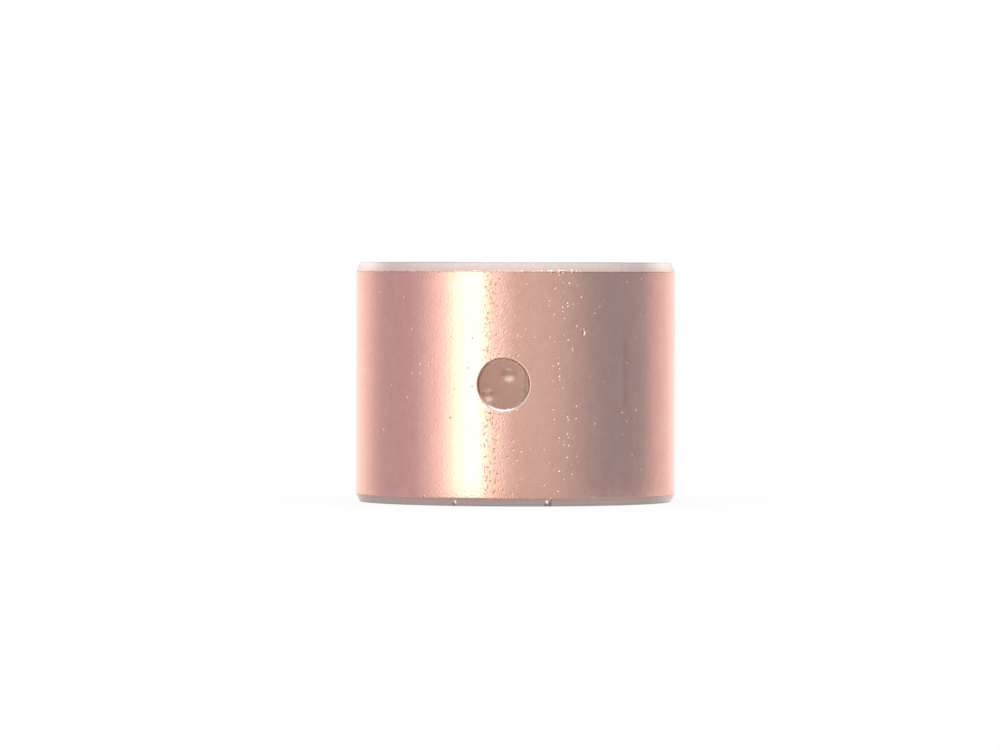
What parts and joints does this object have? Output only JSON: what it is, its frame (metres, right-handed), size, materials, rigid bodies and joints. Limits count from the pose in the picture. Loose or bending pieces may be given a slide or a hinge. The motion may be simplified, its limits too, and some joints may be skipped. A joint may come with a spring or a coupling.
{
  "type": "wrapped bimetal plain bearing bushing",
  "caption": "Rolled steel sleeve bushing with a copper-plated outside, a bronze-lined bore with ball indents for grease, a butt joint and a radial lubrication hole.",
  "frame": {"origin": "centre of the sleeve's lower end face, on the bore axis", "axes": "+Z along the bore axis, up, from the lower end to the upper end; -Y is the side of the lubrication hole; +Y is the side of the butt joint"},
  "size_m": [0.04, 0.04, 0.03],
  "materials": {
    "copper_plated_steel": "satin copper flash outside, bare turned steel on the chamfers and ends, bronze in the bore"
  },
  "bodies": {
    "root": {"bushing": "copper_plated_steel"}
  },
  "joints": []
}
